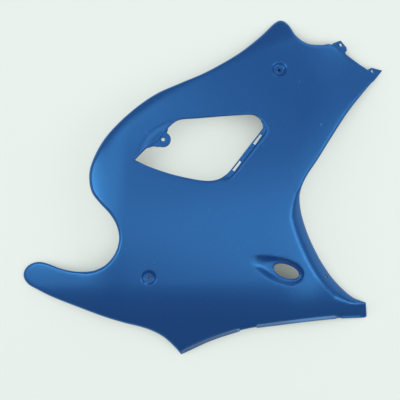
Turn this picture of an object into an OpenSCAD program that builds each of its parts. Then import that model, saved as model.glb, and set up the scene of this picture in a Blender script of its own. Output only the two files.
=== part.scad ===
// Motorcycle side fairing panel, right hand: one moulded shell lying hollow side down.
// Lengths are millimetres. The origin is under the middle of the outline, z = 0 is the floor it lies on,
// x runs to the front end, y runs to the top edge and z points out of the painted face.

/* [Overall] */
// length of the panel from the tail to the front tab
panel_l = 717; // [640:1:800]
// height of the panel from the lower corner to the top
panel_h = 669; // [600:1:740]
// thickness of the moulded wall
wall = 3; // [2.6:0.1:3.6]

/* [Form of the skin] */
// rise of the middle over its surroundings
crown = 72; // [60:1:85]
// extra fall of the upper band outside its crest, as a slope
band_slope = 0.34; // [0.2:0.01:0.45]
// extra fall of the belly below its crest, as a slope
belly_slope = 0.36; // [0.28:0.01:0.44]
// extra fall of the tail, as a slope
tail_slope = 0.38; // [0.3:0.01:0.46]
// extra fall of the front end, as a slope
front_slope = 0.25; // [0.18:0.01:0.32]
// depth of the dished shelf round the screw ear
shelf_depth = 3; // [1:0.1:5]

/* [Edges] */
// radius of the rolled edge round the rear cut-out
cut_roll = 7; // [5:0.5:9]
// depth of the lip round the rear cut-out
cut_lip = 13; // [10:0.5:16]
// radius of the small rolled edges
edge_roll = 4.6; // [4.2:0.1:6]
// depth of the small lips
edge_lip = 7; // [6:0.5:9]
// plan width of the turned front flange
front_w = 22; // [18:0.5:26]
// fall of the turned front flange
front_fall = 24; // [18:0.5:28]
// width of the stepped strip along the bottom
strip_w = 7; // [5:0.5:9]
// step down to the strip along the bottom
strip_step = 2.5; // [2:0.1:3.5]

/* [Air vent] */
// width of the stepped ledge on the front side of the vent
ledge_w = 8; // [7:0.5:10]
// step down to the ledge
ledge_step = 4.5; // [3:0.1:6]
// length of the two slots in the ledge
slot_l = 24; // [16:1:28]
// width of the two slots in the ledge
slot_w = 5; // [4.2:0.1:5.4]

/* [Intake recess] */
// depth of the drop-shaped recess at its opening
recess_depth = 12; // [8:0.5:15]
// length of the oval opening
oval_l = 53; // [44:1:56]
// width of the oval opening
oval_w = 26; // [20:1:28]

/* [Fixings] */
// width of the dished screw seats where they meet the skin
cup_mouth_d = 31; // [27:0.5:34]
// width of the flat bottom of the screw seats
cup_seat_d = 19; // [17:0.5:21]
// depth of the screw seats
cup_depth = 5.5; // [4.5:0.1:7]
// diameter of the screw holes in the seats and the ear
screw_d = 7; // [5.5:0.1:8]
// radius of the screw ear in the vent
ear_r = 15.4; // [13:0.1:17]
// step from the skin down to the ear and the front tabs
tab_step = 2.4; // [2:0.1:2.6]
// diameter of the holes in the front tabs and the front flange
tab_hole_d = 5.8; // [4.5:0.1:7]

/* [Hidden] */
paint = [0.12, 0.29, 0.55];
plan = [panel_l / 717, panel_h / 669];

// Numbers of cells in the runs of the skin
cells = [12, 11, 9, 11, 8, 27, 9, 10, 12, 14, 12, 3, 6, 9, 16];
strip_cells = [14, 13];
front_cells = [4, 6];
spline_steps = 6;
edge_rows = 8;

// The skin as a height over the plan
crown_at = [0, -40];
crown_half = [775, 376];
band_at = [425, -579];
band_r = 897.5;
band_soft = 26;
belly_at = [-187, -191];
belly_lean = -0.03;
belly_soft = 80;
tail_at = -150;
tail_soft = 90;
front_at = 170;
front_lean = 0.1;
front_soft = 90;
shelf_at = [-88, 88];
shelf_half = [56, 27];
shelf_turn = 45;
shelf_soft = 0.45;

function square(v) = v * v;
function unit(v) = v / norm(v);
function left_of(v) = [-v.y, v.x];
function clamp(t) = max(0, min(1, t));
function soft(t) = let (c = clamp(t)) c * c * (3 - 2 * c);
function bend(d, slope, r) = d <= 0 ? 0 : d < r ? slope * d * d / (2 * r) : slope * (d - r / 2);
function turned(v, a) = [v.x * cos(a) + v.y * sin(a), v.y * cos(a) - v.x * sin(a)];

function shelf(u) =
    let (s = turned(u - shelf_at, shelf_turn))
    soft((1 - norm([s.x / shelf_half.x, s.y / shelf_half.y])) / shelf_soft);

function skin(p) =
    let (u = [p.x / plan.x, p.y / plan.y])
    crown * (1 - square((u.x - crown_at.x) / crown_half.x) - square((u.y - crown_at.y) / crown_half.y))
    - bend(norm(u - band_at) - band_r, band_slope, band_soft)
    - bend(belly_at.y - u.y - belly_lean * (u.x - belly_at.x), belly_slope, belly_soft)
    - bend(tail_at - u.x, tail_slope, tail_soft)
    - bend(u.x - front_lean * u.y - front_at, front_slope, front_soft)
    - shelf_depth * shelf(u);

function skin_slope(p) =
    [(skin(p + [1, 0]) - skin(p - [1, 0])) / 2, (skin(p + [0, 1]) - skin(p - [0, 1])) / 2];
function upright_wall(p) = wall * sqrt(1 + square(norm(skin_slope(p))));

// Edge profiles: rows of [distance in from the edge, drop, share of level]
function rolled(r, lip) =
    let (q = r - (r - wall) * cos(45))
    [[r, 0, 0], [r * (1 - cos(45)), r * (1 - cos(45)), 0], [0, r, 0], [0, lip, 0],
     [wall, lip, 0], [wall, r, 0], [q, q, 0], [r, wall, 0]];
function thinned(r, t, lip) =
    [[r, 0, 0], [r * (1 - cos(45)), r * (1 - cos(45)), 0], [0, r, 0], [0, lip, 0],
     [t, lip, 0], [t, wall * 1.35, 0], [t + (r - t) * 0.3, wall * 1.1, 0], [r, wall, 0]];
function stepped(w, step, level) =
    [[w + step, 0, 0], [w + step / 2, step / 2, level / 2], [w, step, level], [0, step, level],
     [0, step + wall, level], [w, step + wall, level], [w + step / 2, step / 2 + wall, level / 2],
     [w + step, wall, 0]];
function swept(w, fall) =
    [[w, 0, 0], [w * 0.75, fall * 0.14, 0], [w * 0.4, fall * 0.52, 0], [0, fall, 0],
     [wall * 0.8, fall + wall * 0.6, 0], [w * 0.4 + wall * 0.75, fall * 0.52 + wall * 0.65, 0],
     [w * 0.75 + wall * 0.4, fall * 0.14 + wall * 0.9, 0], [w, wall, 0]];

cut = rolled(cut_roll, cut_lip);
small = rolled(edge_roll, edge_lip);
strip = stepped(strip_w, strip_step, 0.8);
front = swept(front_w, front_fall);
nose = thinned(wall, wall * 0.65, edge_lip);
taper = swept(front_w * 0.55, front_fall * 0.7);
fade = swept(front_w * 0.5, front_fall * 0.5);
brow = rolled(edge_roll * 1.3, edge_lip * 1.3);
tabs = rolled(wall + 1.2, wall + 2.2);
ledge = stepped(ledge_w, ledge_step, 0);
ledge_end = stepped(ledge_w * 0.5, ledge_step * 0.7, 0);

// Outline, anticlockwise: [x, y, edge profile, corner]
outline = [
    [-227.4, 16.8, cut], [-221.8, -10.4, cut], [-205.4, -32.4, cut], [-186.4, -52.8, cut],
    [-172.4, -76.8, cut], [-167.8, -104, cut], [-175.4, -130.8, cut], [-192.4, -152.6, cut],
    [-212.4, -164, cut], [-230.8, -168, cut], [-258.6, -167.6, small], [-285.8, -161.6, small],
    [-312, -152, small], [-329.4, -149, small], [-345.8, -153.8, small], [-357.2, -165.8, small],
    [-358.8, -180.4, small], [-349.6, -193.6, small], [-334.4, -202.6, small], [-300.2, -219.6, small],
    [-248.4, -239.8, small], [-196, -259, small], [-156, -271, small], [-128.8, -277.6, small],
    [-102.4, -286.4, small], [-78, -299.8, small], [-57.4, -318.6, small], [-43.8, -334.4, small, 1],
    [-25.2, -325.4, strip], [12.6, -308, strip], [52.2, -294.2, strip], [92.2, -283.4, strip],
    [147.4, -276, strip], [216.6, -267.6, strip], [272, -262.4, strip], [326.8, -260.4, nose, 1],
    [325, -230.2, nose, 1], [299.2, -220, taper], [277.6, -202.4, front], [258.6, -182, front],
    [242.4, -159.4, front], [228.2, -135.6, front], [210.2, -97.8, front], [197, -58.2, front],
    [192, -25.4, fade], [195, -3.2, brow], [206.2, 22.2, brow], [229.2, 57, brow],
    [258.8, 104.2, brow], [289.2, 150.4, brow], [318.6, 187.6, small], [341.6, 214.6, tabs, 1],
    [327, 226.6, tabs], [299.6, 245.6, tabs], [279.6, 266.6, tabs], [267.6, 278.2, tabs],
    [252.6, 286.2, small], [237.2, 284.4, small], [209.6, 286.8, small], [186.6, 301.6, small],
    [170.6, 324.4, small], [156.6, 334.2, small], [142.2, 327.6, small], [111.8, 299, small],
    [67.6, 265, small], [7.2, 230.6, small], [-44, 208.6, small], [-94.8, 185.8, small],
    [-140.4, 153.8, small], [-181, 115.6, small], [-206.2, 82.2, cut], [-223.6, 44.4, cut]];
// stretches of the outline: [first point, last point, cells]
outline_runs = [
    [0, 8, cells[0]], [8, 13, cells[1]], [13, 18, cells[2]], [18, 23, cells[3]], [23, 27, cells[4]],
    [27, 33, strip_cells[0]], [33, 35, strip_cells[1]], [35, 36, cells[6]],
    [36, 37, front_cells[0]], [37, 40, front_cells[1]], [40, 44, cells[8]], [44, 51, cells[9]],
    [51, 56, cells[10]], [56, 59, cells[11]], [59, 62, cells[12]], [62, 66, cells[13]],
    [66, 72, cells[14]]];

// Air vent, anticlockwise
vent = [
    [-135.8, 54.4, small, 1], [-107, 41, small], [-61.8, 25.8, small], [-15, 15.6, small],
    [12.6, 13, small], [32.2, 17, small], [45.6, 25.6, ledge], [56.6, 37, ledge], [85.6, 74.6, ledge],
    [115, 112.8, ledge], [118.4, 120.6, ledge_end], [115.6, 131.4, small], [107.4, 140, small],
    [93.6, 144.2, small], [51.2, 142, small], [-12.4, 137, small], [-46.4, 134, small],
    [-64.6, 123, tabs], [-79.4, 105.6, tabs], [-93.4, 89.6, tabs], [-111.4, 78.6, tabs]];
vent_runs = [[0, 7, 25], [7, 9, 14], [9, 13, 12], [13, 16, 18], [16, 21, 16]];

// Drop-shaped recess, anticlockwise from its rear end
drop = [
    [89.6, -144.4], [91.2, -152.4], [100, -161.6], [113.8, -172], [129.8, -183.4], [148.2, -192.6],
    [164.6, -197.4], [182.6, -196], [196.6, -187.4], [202.2, -175.4], [200, -165.4], [192.6, -155.4],
    [180.4, -147.4], [163.2, -141], [134.4, -136.4], [109.6, -134.4], [95.2, -137.4]];
drop_runs = [[0, 10, 10], [10, 17, 10]];
oval_at = [165.6, -167.4];
oval_turn = -20;

// Smooth curves through the points, split into equal cells
function flat(k) = [k.x * plan.x, k.y * plan.y];
function knot(list, i) = list[(i + len(list)) % len(list)];
function before(list, i) =
    knot(list, i)[3] == 1 ? 2 * flat(knot(list, i)) - flat(knot(list, i + 1)) : flat(knot(list, i - 1));
function after(list, i) =
    knot(list, i)[3] == 1 ? 2 * flat(knot(list, i)) - flat(knot(list, i - 1)) : flat(knot(list, i + 1));
function blend(a, b, c, d, t) =
    (2 * b + (c - a) * t + (2 * a - 5 * b + 4 * c - d) * t * t + (3 * b - a - 3 * c + d) * t * t * t) / 2;
function dense(list, from, to) = [
    for (i = [from : to - 1])
        let (a = before(list, i), b = flat(knot(list, i)), c = flat(knot(list, i + 1)),
             d = after(list, i + 1))
        for (s = [0 : spline_steps - 1]) [each blend(a, b, c, d, s / spline_steps), i + s / spline_steps],
    [each flat(knot(list, to)), to]];
function lengths(path) = [
    for (i = 0, sum = 0; i < len(path);
         sum = sum + (i + 1 < len(path) ? norm([path[i + 1].x - path[i].x, path[i + 1].y - path[i].y]) : 0),
         i = i + 1) sum];
function split(path, n) =
    let (run = lengths(path), total = run[len(run) - 1])
    [for (j = [0 : n - 1]) let (s = total * j / n) [
        for (c = [0 : 2]) lookup(s, [for (i = [0 : len(path) - 1]) [run[i], path[i][c]]])]];
function stations(list, runs) = [for (r = runs) each split(dense(list, r[0], r[1]), r[2])];
function seam(points, n) =
    let (ends = [for (i = [0 : len(points) - 1]) [points[i].x / plan.x, points[i].y / plan.y, 0,
                                                   i == 0 || i == len(points) - 1 ? 1 : 0]])
    [for (p = split(dense(ends, 0, len(ends) - 1), n)) [p.x, p.y], points[len(points) - 1]];

// Rows of points down a profile round a closed edge
function profile(list, k) =
    let (i = floor(k), t = k - i)
    t == 0 ? knot(list, i)[2] : (1 - t) * knot(list, i)[2] + t * knot(list, i + 1)[2];
function inward(loop, k, side) =
    let (n = len(loop), p = [loop[k].x, loop[k].y],
         a = [loop[(k + n - 1) % n].x, loop[(k + n - 1) % n].y],
         c = [loop[(k + 1) % n].x, loop[(k + 1) % n].y],
         m = side * left_of(unit(p - a)), o = side * left_of(unit(c - p)))
    (m + o) / max(1 + m * o, 0.5);
function edge_columns(list, loop, side) = [
    for (k = [0 : len(loop) - 1])
        let (rows = profile(list, loop[k][2]), m = inward(loop, k, side), p = [loop[k].x, loop[k].y])
        [for (row = rows) [p + m * row[0], p + m * rows[0][0], row[1], row[2]]]];
function edge_height(c, sunk) = (1 - c[3]) * skin(c[0]) + c[3] * skin(c[1]) - c[2] - sunk;

rim = edge_columns(outline, stations(outline, outline_runs), 1);
vent_rim = edge_columns(vent, stations(vent, vent_runs), -1);
inset = [for (c = rim) c[0][0]];
vent_inset = [for (c = vent_rim) c[0][0]];

// The floor runs through the tail tip, the lower front corner and the top
function foot(k) = let (c = rim[k][3]) [c[0].x, c[0].y, edge_height(c, 0)];
function sum_to(n) = n < 0 ? 0 : cells[n] + sum_to(n - 1);
at_k = sum_to(0);
at_tip = sum_to(1);
at_tail = sum_to(2);
at_h = sum_to(3);
at_f = sum_to(5);
at_e = sum_to(6);
at_re = sum_to(7);
at_d = sum_to(8);
feet = [foot(at_tip + 5), foot(at_f), foot(sum_to(11) + 5)];
up = cross(feet[1] - feet[0], feet[2] - feet[0]);
function rest_plane(p) = feet[0].z - ((p.x - feet[0].x) * up.x + (p.y - feet[0].y) * up.y) / up.z;
lowest = min([for (k = [0 : len(rim) - 1]) foot(k).z - rest_plane(foot(k))]);
function floor_under(p) = rest_plane(p) + lowest;
function round_off(v) = round(v * 100) / 100;
function lifted(p, z) = [round_off(p.x), round_off(p.y), round_off(z - floor_under(p))];
function top_of(p) = skin(p) - floor_under(p);

// Cells as triangles
function sheet(g, closed = false) = [
    for (j = [0 : len(g) - 2]) for (i = [0 : len(g[0]) - (closed ? 1 : 2)])
        let (n = (i + 1) % len(g[0]))
        each [g[j][i], g[j][n], g[j + 1][n], g[j][i], g[j + 1][n], g[j + 1][i]]];
function flipped(s) = [for (i = [0 : 3 : len(s) - 1]) each [s[i], s[i + 2], s[i + 1]]];
function face_of(g) = [for (row = g) [for (p = row) lifted(p, skin(p))]];
function back_of(g) = [for (row = g) [for (p = row) lifted(p, skin(p) - upright_wall(p))]];
function both(g, closed = false) = concat(sheet(face_of(g), closed), flipped(sheet(back_of(g), closed)));
function edge_rows_of(columns, sunk) = [
    for (j = [0 : edge_rows - 1]) [
        for (c = columns) lifted(c[j][0], j < edge_rows - 1 ? edge_height(c[j], sunk)
                                            : skin(c[j][0]) - sunk - upright_wall(c[j][0]))]];
function ring(a, b, rows) = [for (v = rows) [for (i = [0 : len(a) - 1]) (1 - v) * a[i] + v * b[i]]];
function patch(top, bottom, left, right, reach) =
    let (n = len(top) - 1, m = len(left) - 1)
    [for (j = [0 : m]) [for (i = [0 : n])
        let (u = i / n, v = j / m)
        j == 0 ? top[i] : j == m ? bottom[i] : i == 0 ? left[j] : i == n ? right[j] :
        (1 - v) * top[i] + v * bottom[i]
        + pow(1 - u, reach) * (left[j] - (1 - v) * top[0] - v * bottom[0])
        + square(u) * (right[j] - (1 - v) * top[n] - v * bottom[n])]];
function part_of(list, from, to) = [for (i = [from : to]) list[i % len(list)]];
function backwards(list) = [for (i = [len(list) - 1 : -1 : 0]) list[i]];

// Seams between the fields of the skin
drop_loop = [for (s = stations(drop, drop_runs)) [s.x, s.y]];
drop_under = part_of(drop_loop, 0, 10);
drop_over = backwards(part_of(drop_loop, 10, 20));
hip_at = [for (p = [[-150, -172], [-86.4, -166], [0, -156]]) flat(p)];
to_drop = seam([inset[at_k], each hip_at, drop_loop[0]], 12);
from_drop = seam([drop_loop[10], inset[at_re]], 3);
hip = seam([inset[at_k], inset[at_h]], cells[2]);
function joined(a, b, c) = concat(part_of(a, 0, len(a) - 2), part_of(b, 0, len(b) - 2), c);
waist_at = [for (p = [[-165, -12], [-100, -42], [58, -58], [172, -38]]) flat(p)];
waist = joined(seam([inset[0], waist_at[0], waist_at[1], waist_at[2]], 12),
               seam([waist_at[2], waist_at[3]], 10), seam([waist_at[3], inset[at_d]], 3));

ring_rows = [0, 0.09, 0.23, 0.4, 0.58, 0.78, 1];
upper_loop = concat(part_of(waist, 0, 24), part_of(inset, at_d, len(inset) - 1));
upper = ring(vent_inset, upper_loop, ring_rows);
middle = patch(waist, joined(to_drop, drop_over, from_drop), part_of(inset, 0, at_k),
               backwards(part_of(inset, at_re, at_d)), 2);
under_drop = joined(to_drop, drop_under,
                    joined(from_drop, [inset[at_re]], backwards(part_of(inset, at_e, at_re))));
lower = patch(under_drop, part_of(inset, at_h, at_f), hip, backwards(part_of(inset, at_f, at_e)), 2);
tail = patch(backwards(part_of(inset, at_k, at_tip)), part_of(inset, at_tail, at_h),
             part_of(inset, at_tip, at_tail), hip, 6);

// Recess with its oval opening
// the seam meets the oval this many degrees past its front end, so ten cells are longer than the others
oval_split = 14;
function oval_angle(k) =
    k < 10 ? 180 + (180 + oval_split) * k / 10 : oval_split + (180 - oval_split) * (k - 10) / 10;
oval = [for (k = [0 : 19]) let (a = oval_angle(k))
    [each (flat(oval_at) + turned([oval_l / 2 * cos(a), oval_w / 2 * sin(a)], -oval_turn)), 0]];
oval_edge = [[0, 0, rolled(wall + 1.5, wall + 3)]];
oval_rim = edge_columns(oval_edge, oval, -1);
oval_inset = [for (c = oval_rim) c[0][0]];
recess_rows = 4;
recess = ring(oval_inset, drop_loop, [for (j = [0 : recess_rows]) j / recess_rows]);
function sunk_at(j) = recess_depth * soft(1 - j / recess_rows);
function thicker(j) = 1 + 0.35 * sin(180 * j / recess_rows);
recess_face = [for (j = [0 : recess_rows]) [for (p = recess[j]) lifted(p, skin(p) - sunk_at(j))]];
recess_back = [for (j = [0 : recess_rows]) [
    for (p = recess[j]) lifted(p, skin(p) - sunk_at(j) - upright_wall(p) * thicker(j))]];

module shell() {
    s = concat(
        both(upper, true), both(middle), both(lower), both(tail),
        sheet(edge_rows_of(rim, 0), true), flipped(sheet(edge_rows_of(vent_rim, 0), true)),
        sheet(recess_face, true), flipped(sheet(recess_back, true)),
        flipped(sheet(edge_rows_of(oval_rim, recess_depth), true)));
    polyhedron(points = s, faces = [for (i = [0 : 3 : len(s) - 1]) [i, i + 1, i + 2]], convexity = 8);
}

// Seats, ear and tabs, square to the skin
function top_slope(p) =
    [(top_of(p + [1, 0]) - top_of(p - [1, 0])) / 2, (top_of(p + [0, 1]) - top_of(p - [0, 1])) / 2];
function out_of(p) = let (g = top_slope(p)) unit([-g.x, -g.y, 1]);
module on_skin(p) {
    n = out_of(p);
    translate([p.x, p.y, top_of(p)]) rotate(a = acos(n.z), v = [-n.y, n.x, 0]) children();
}
function turn_back(v, n) =
    let (k = unit([-n.y, n.x, 0]), c = n.z, s = -sqrt(1 - n.z * n.z))
    v * c + cross(k, v) * s + k * (k * v) * (1 - c);
// A plan point as it lies on the tangent plane over p
function on_plane(q, p) =
    let (g = top_slope(p), d = q - p, l = turn_back([d.x, d.y, g * d], out_of(p))) [l.x, l.y];

cups = [flat([-108.6, -180.6]), flat([151.8, 235.4])];
cup_sink = 0.5;
cup_land = 3;
module cup_cut() translate([0, 0, -2 * cup_depth]) cylinder(d = cup_mouth_d, h = 4 * cup_depth, $fn = 36);
module cup() {
    m = cup_mouth_d / 2;
    f = cup_seat_d / 2;
    difference() {
        rotate_extrude($fn = 36) polygon([
            [0, -cup_depth], [f, -cup_depth], [m, -cup_sink], [m + cup_land, -cup_sink],
            [m + cup_land, -wall + cup_sink], [m + 1, -wall + cup_sink], [f + 1, -cup_depth - wall],
            [0, -cup_depth - wall]]);
        translate([0, 0, -2 * cup_depth - wall]) cylinder(d = screw_d, h = 4 * cup_depth, $fn = 36);
    }
}

ear_at = flat([-80, 95.4]);
ear_web = [[-70.6, 117.8], [-82, 122], [-104, 100], [-118, 84], [-111.4, 78.8], [-100, 81.8], [-92, 80.8],
           [-86, 81]];
module ear() translate([0, 0, -tab_step - wall]) difference() {
    linear_extrude(wall) union() {
        circle(r = ear_r, $fn = 48);
        polygon([for (q = ear_web) on_plane(flat(q), ear_at)]);
    }
    translate([0, 0, -wall]) cylinder(d = screw_d, h = 3 * wall, $fn = 36);
}

tabs_at = flat([299.6, 245.6]);
tabs_plan = [
    [249.6, 277.6], [265.6, 264.6], [287.6, 241.6], [313.6, 220.6], [330, 203.5], [342.4, 213.6],
    [358.8, 234], [337, 239.6], [329, 235.4], [313.4, 245.8], [299.6, 255.8], [285.8, 266.4],
    [284.6, 270.2], [288, 273.4], [286.8, 280.2], [275.2, 293.8], [268, 291.6], [259.8, 288.2]];
tab_holes = [[275.6, 285.2], [338.4, 232.6]];
module front_tabs() translate([0, 0, -tab_step - wall]) difference() {
    linear_extrude(wall) polygon([for (q = tabs_plan) on_plane(flat(q), tabs_at)]);
    for (h = tab_holes)
        translate(on_plane(flat(h), tabs_at)) translate([0, 0, -wall])
            cylinder(d = tab_hole_d, h = 3 * wall, $fn = 36);
}

slots = [[108.3, 95.4, 55], [67, 42.4, 54]];
module slot_cut(s) translate([each flat(s), top_of(flat(s)) - ledge_step]) rotate(s[2])
    cube([slot_l, slot_w, 6 * wall], center = true);

// The hole in the front flange stands square to the flange, which falls about this steeply
flange_hole = [246.2, -178];
flange_drop = front_fall * 0.58;
flange_tilt = atan(front_fall / front_w * 1.15);
flange_run = unit(flat(outline[40]) - flat(outline[39]));
module flange_hole_cut() translate([each flat(flange_hole), top_of(flat(flange_hole)) - flange_drop])
    rotate(a = flange_tilt, v = [each flange_run, 0])
        cylinder(d = tab_hole_d, h = 5 * wall, center = true, $fn = 36);

module side_panel() color(paint) difference() {
    union() {
        difference() {
            shell();
            for (c = cups) on_skin(c) cup_cut();
        }
        for (c = cups) on_skin(c) cup();
        on_skin(ear_at) ear();
        on_skin(tabs_at) front_tabs();
    }
    for (s = slots) slot_cut(s);
    flange_hole_cut();
}

side_panel();
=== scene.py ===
"""Dresses the solid of a motorcycle side panel: a fine painted skin with its rolled edges, screw seats,
ear and tabs, on a pale floor under soft light. Plan points are millimetres, as on the solid; Blender's
units are metres."""

import math

import bpy
import numpy as np
from bpy.props import FloatProperty, PointerProperty, StringProperty
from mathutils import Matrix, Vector, geometry
from mathutils.bvhtree import BVHTree


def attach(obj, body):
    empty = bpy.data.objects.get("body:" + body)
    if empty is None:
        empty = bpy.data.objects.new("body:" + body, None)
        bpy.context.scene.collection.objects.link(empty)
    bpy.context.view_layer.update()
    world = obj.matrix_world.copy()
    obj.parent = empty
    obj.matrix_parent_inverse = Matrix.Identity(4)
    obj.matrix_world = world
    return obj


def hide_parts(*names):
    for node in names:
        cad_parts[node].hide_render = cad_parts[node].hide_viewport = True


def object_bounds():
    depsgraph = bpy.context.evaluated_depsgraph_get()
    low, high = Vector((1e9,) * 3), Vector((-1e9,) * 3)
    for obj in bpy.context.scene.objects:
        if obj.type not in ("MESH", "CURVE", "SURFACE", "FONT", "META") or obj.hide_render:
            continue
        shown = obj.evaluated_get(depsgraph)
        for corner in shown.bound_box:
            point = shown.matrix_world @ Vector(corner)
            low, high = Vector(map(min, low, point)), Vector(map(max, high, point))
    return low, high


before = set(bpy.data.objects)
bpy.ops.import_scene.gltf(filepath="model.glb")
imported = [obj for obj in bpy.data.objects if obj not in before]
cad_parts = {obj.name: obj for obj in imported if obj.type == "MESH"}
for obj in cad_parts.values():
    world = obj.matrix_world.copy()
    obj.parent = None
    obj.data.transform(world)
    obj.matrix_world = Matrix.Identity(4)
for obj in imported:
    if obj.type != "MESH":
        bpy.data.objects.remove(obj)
CAD_LOW, CAD_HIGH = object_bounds()

bl_info = {
    "name": "Motorcycle side panel",
    "version": (1, 0, 0),
    "blender": (4, 5, 0),
    "location": "3D View > Sidebar > Side Panel",
    "description": "Builds the painted skin of a moulded side panel over its solid",
    "category": "Add Mesh",
}

NODE = "side_panel"
BODY = "root"
# One millimetre in metres, and the thickness of the moulding in millimetres
MM = 0.001
WALL = 3.0

# Rolled edges by name: radius of the roll and length of the upright lip below it
ROLLED = {
    "cut": (7.0, 6.0), "small": (4.6, 2.3), "brow": (6.0, 3.1), "tabs": (4.2, 1.0), "nose": (3.0, 4.0),
    "oval": (4.5, 1.5), "plate": (0.9, 0.2), "gap": (3.4, 3.0),
}
# Swept edges by name: how far in they begin and how far they fall; and the power that shapes the fall
SWEPT = {"front": (30.0, 24.0), "taper": (16.0, 16.8), "fade": (15.0, 12.0)}
SWEEP_POWER = 1.9
# Stepped edges by name: the ledge's width, its step down, and how level it lies, 0 being along the skin
STEPPED = {
    "strip": (7.0, 2.5, 0.8), "ledge": (8.0, 4.5, 0.0), "ledge_end": (4.0, 3.15, 0.0),
    "strip_end": (4.2, 1.6, 0.8),
}
# Eased outer edge of a ledge
STEP_EDGE = 0.4

# The outline, anticlockwise from the back: x, y, edge profile, and 1 at a corner
OUTLINE = [
    (-227.4, 16.8, "cut"), (-221.8, -10.4, "cut"), (-205.4, -32.4, "cut"), (-186.4, -52.8, "cut"),
    (-172.4, -76.8, "cut"), (-167.8, -104, "cut"), (-175.4, -130.8, "cut"), (-192.4, -152.6, "cut"),
    (-212.4, -164, "cut"), (-230.8, -168, "cut"), (-258.6, -167.6, "small"), (-285.8, -161.6, "small"),
    (-312, -152, "small"), (-329.4, -149, "small"), (-345.8, -153.8, "small"), (-357.2, -165.8, "small"),
    (-358.5, -180.4, "small"), (-349.6, -193.6, "small"), (-334.4, -202.6, "small"),
    (-300.2, -219.6, "small"),
    (-248.4, -239.8, "small"), (-196, -259, "small"), (-156, -271, "small"), (-128.8, -277.6, "small"),
    (-102.4, -286.4, "small"), (-78, -299.8, "small"), (-57.4, -318.6, "small"), (-43.8, -334.4, "small", 1),
    (-25.2, -325.4, "strip"), (12.6, -308, "strip"), (52.2, -294.2, "strip"), (92.2, -283.4, "strip"),
    (147.4, -276, "strip"), (216.6, -267.6, "strip"), (272, -262.4, "strip"), (321.5, -260.6, "nose", 1),
    (325.7, -259.2, "nose"), (326.8, -254.6, "nose", 1),
    (325, -230.2, "nose", 1), (299.2, -220, "taper"), (277.6, -202.4, "front"), (258.6, -182, "front"),
    (242.4, -159.4, "front"), (228.2, -135.6, "front"), (210.2, -97.8, "front"), (197, -58.2, "front"),
    (192, -25.4, "fade"), (195, -3.2, "brow"), (206.2, 22.2, "brow"), (229.2, 57, "brow"),
    (258.8, 104.2, "brow"), (289.2, 150.4, "brow"), (318.6, 187.6, "small"), (341.6, 214.6, "tabs", 1),
    (327, 226.6, "tabs"), (299.6, 245.6, "tabs"), (279.6, 266.6, "tabs"), (267.6, 278.2, "tabs"),
    (252.6, 286.2, "small"), (237.2, 284.4, "small"), (209.6, 286.8, "small"), (186.6, 301.6, "small"),
    (170.6, 324.4, "small"), (156.6, 333.2, "small"), (142.2, 327.6, "small"), (111.8, 299, "small"),
    (67.6, 265, "small"), (7.2, 230.6, "small"), (-44, 208.6, "small"), (-94.8, 185.8, "small"),
    (-140.4, 153.8, "small"), (-181, 115.6, "small"), (-206.2, 82.2, "cut"), (-223.6, 44.4, "cut"),
]
# Where the bottom edge's strip is broken or narrow: from x, to x, profile and how far the edge moves in
STRIP_BREAKS = [(74.0, 106.0, "gap", 1.8), (267.0, 277.0, "gap", 1.2), (277.0, 318.0, "strip_end", 0.0)]
# The bottom edge is what lies below this y
BOTTOM_EDGE = -240.0
# The air vent, anticlockwise from its rear corner
VENT = [
    (-135.8, 54.4, "small", 1), (-107, 41, "small"), (-61.8, 25.8, "small"), (-15, 15.6, "small"),
    (12.6, 13, "small"), (32.2, 17, "small"), (45.6, 25.6, "ledge"), (56.6, 37, "ledge"),
    (85.6, 74.6, "ledge"), (115, 112.8, "ledge"), (118.4, 120.6, "ledge_end"), (115.6, 131.4, "small"),
    (107.4, 140, "small"), (93.6, 144.2, "small"), (51.2, 142, "small"), (-12.4, 137, "small"),
    (-46.4, 134, "small"), (-64.6, 123, "tabs"), (-79.4, 105.6, "tabs"), (-93.4, 89.6, "tabs"),
    (-111.4, 78.6, "tabs"),
]
# The drop-shaped recess, anticlockwise from its rear end, and its oval opening
DROP = [
    (89.6, -144.4), (91.2, -152.4), (100, -161.6), (113.8, -172), (129.8, -183.4), (148.2, -192.6),
    (164.6, -197.4), (182.6, -196), (196.6, -187.4), (202.2, -175.4), (200, -165.4), (192.6, -155.4),
    (180.4, -147.4), (163.2, -141), (134.4, -136.4), (109.6, -134.4), (95.2, -137.4),
]
OVAL_AT = (165.6, -167.4)
OVAL_TURN = -20.0
# The drop's knot at its front end, and the degrees round the oval that meet it
DROP_FRONT = 10
OVAL_SPLIT = 14.0
# Middles of the screw seats, middles and turns of the ledge's slots, and the middle of the flange's hole
SEATS = [(-108.6, -180.6), (151.8, 235.4)]
SLOTS = [(108.3, 95.4, 55.0), (67.0, 42.4, 54.0)]
FLANGE_HOLE = (246.2, -178.0)
# The screw ear: its middle, the sides of its round end that stand free, and its web to the rim
EAR_AT = (-80.0, 95.4)
EAR_SIDES = 36
EAR_FREE = (25, 7)
EAR_WEB = [
    (-70.6, 117.8), (-82, 122), (-104, 100), (-118, 84), (-111.4, 78.8), (-100, 81.8), (-92, 80.8), (-86, 81),
]
# The front tabs: where their plate touches the skin, their outline and their holes
TABS_AT = (299.6, 245.6)
TABS_PLAN = [
    (249.6, 277.6), (265.6, 264.6), (287.6, 241.6), (313.6, 220.6), (330, 203.5), (342.4, 213.6),
    (358.8, 234), (337, 239.6), (329, 235.4), (313.4, 245.8), (299.6, 255.8), (285.8, 266.4),
    (284.6, 270.2), (288, 273.4), (286.8, 280.2), (275.2, 293.8), (268, 291.6), (259.8, 288.2),
]
TAB_HOLES = [(275.6, 285.2), (338.4, 232.6)]
# Plain places of the skin where its height over the floor is read from the solid
LEVEL_AT = [(-120.0, -60.0), (150.0, -60.0), (0.0, 180.0)]

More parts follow.
